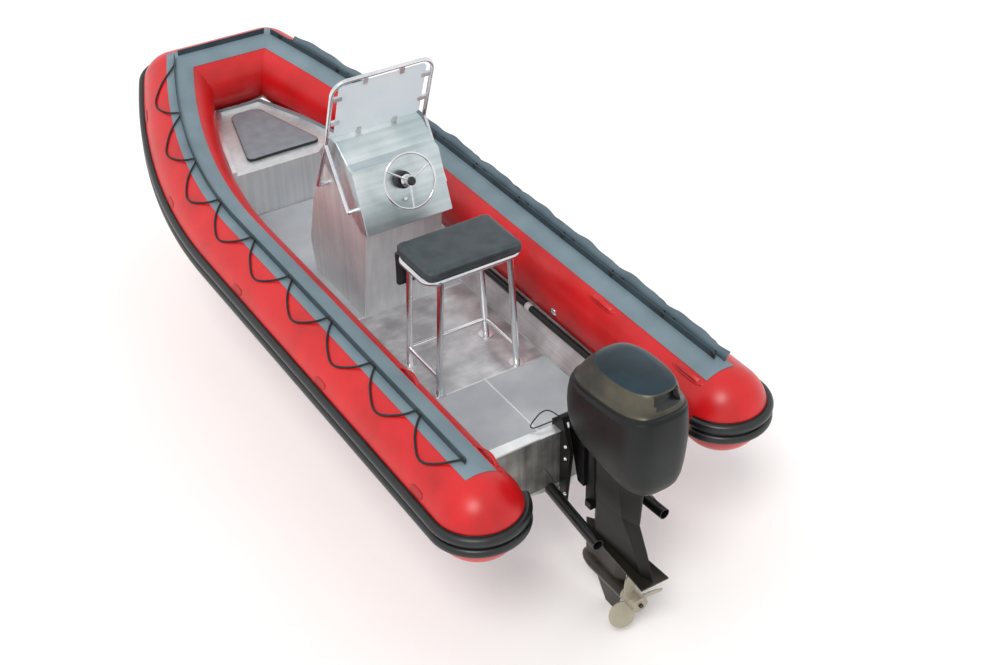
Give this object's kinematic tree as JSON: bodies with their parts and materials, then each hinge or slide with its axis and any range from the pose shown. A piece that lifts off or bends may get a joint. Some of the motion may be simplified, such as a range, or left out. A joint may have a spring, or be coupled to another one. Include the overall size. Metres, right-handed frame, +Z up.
{
  "type": "rigid inflatable boat",
  "caption": "Open rigid inflatable boat: aluminium hull and deck, blunt-bowed air tubes, helm console with windscreen, padded seat, bow locker and tilting outboard engine.",
  "frame": {"origin": "on the waterline and the centreline, at the aft face of the transom", "axes": "+X forward to the bow, +Y to port, +Z up"},
  "size_m": [5.4527, 2.0618, 2.2645],
  "materials": {
    "red_tube_fabric": "satin coated fabric",
    "grey_patch": "matt coated fabric",
    "slate_fabric": "matt coated fabric",
    "black_rubber": "matt",
    "hull_aluminium": "brushed",
    "bright_aluminium": "satin",
    "brushed_aluminium": "brushed",
    "grey_pad": "vinyl over foam",
    "charcoal_cushion": "vinyl over foam",
    "black_cushion": "vinyl over foam",
    "polished_tube": "polished",
    "chrome_steel": "polished",
    "black_plastic": "matt",
    "clear_screen": "clear",
    "screen_clip": "satin",
    "black_bracket": "gloss",
    "cowl_paint": "gloss",
    "leg_paint": "gloss metallic",
    "propeller_metal": "satin"
  },
  "bodies": {
    "boat": {"bow_coaming": "slate_fabric", "bow_locker": "bright_aluminium", "bow_pad": "grey_pad", "clamp_bracket": "black_bracket", "conduit": "black_plastic", "console_body": "brushed_aluminium", "console_dash": "brushed_aluminium", "deck_aft_port": "bright_aluminium", "deck_aft_starboard": "bright_aluminium", "deck_forward": "bright_aluminium", "deck_middle": "bright_aluminium", "drain_trunk_port": "black_rubber", "drain_trunk_starboard": "black_rubber", "helm_pump": "black_plastic", "hull": "hull_aluminium", "key_switch": "black_plastic", "lacing_fin_bow": "slate_fabric", "lacing_fin_port": "slate_fabric", "lacing_fin_starboard": "slate_fabric", "rigging_hose": "black_plastic", "rub_strake_bow": "black_rubber", "rub_strake_port": "black_rubber", "rub_strake_starboard": "black_rubber", "seat_cushion": "charcoal_cushion", "seat_frame": "polished_tube", "seat_front_pad": "black_cushion", "transom": "hull_aluminium", "transom_cap": "bright_aluminium", "tube_bow": "red_tube_fabric", "tube_port": "red_tube_fabric", "tube_starboard": "red_tube_fabric", "wear_patch_bow": "grey_patch", "wear_patch_port": "grey_patch", "wear_patch_starboard": "grey_patch", "windscreen": "clear_screen", "windscreen_clips": "screen_clip", "windscreen_frame": "polished_tube"},
    "tilt_unit": {"swivel_bracket": "black_bracket"},
    "engine": {"steering_shaft": "black_bracket", "engine_leg": "leg_paint", "gearcase": "leg_paint", "cowl_lower": "cowl_paint", "cowl_upper": "cowl_paint", "cowl_cap": "cowl_paint"},
    "propeller": {"propeller": "propeller_metal"},
    "wheel": {"steering_wheel": "chrome_steel"}
  },
  "joints": [
    {"name": "tilt", "type": "hinge", "parent": "boat", "child": "tilt_unit", "pos_m": [0, 0, 0.4], "axis": [0, 1, 0], "range_deg": [0, 60]},
    {"name": "steer", "type": "hinge", "parent": "tilt_unit", "child": "engine", "pos_m": [-0.15, 0, 0.1], "axis": [0, 0, 1], "range_deg": [-20, 20]},
    {"name": "propeller_spin", "type": "hinge", "parent": "engine", "child": "propeller", "pos_m": [-0.5, 0, -0.492], "axis": [1, 0, 0], "continuous": true},
    {"name": "wheel_turn", "type": "hinge", "parent": "boat", "child": "wheel", "pos_m": [1.6963, 0, 0.95433], "axis": [-0.931, 0, 0.3651], "range_deg": [-540, 540]}
  ],
  "couplings": [
    {"joint": "wheel_turn", "follows": "steer", "ratio": 18}
  ]
}
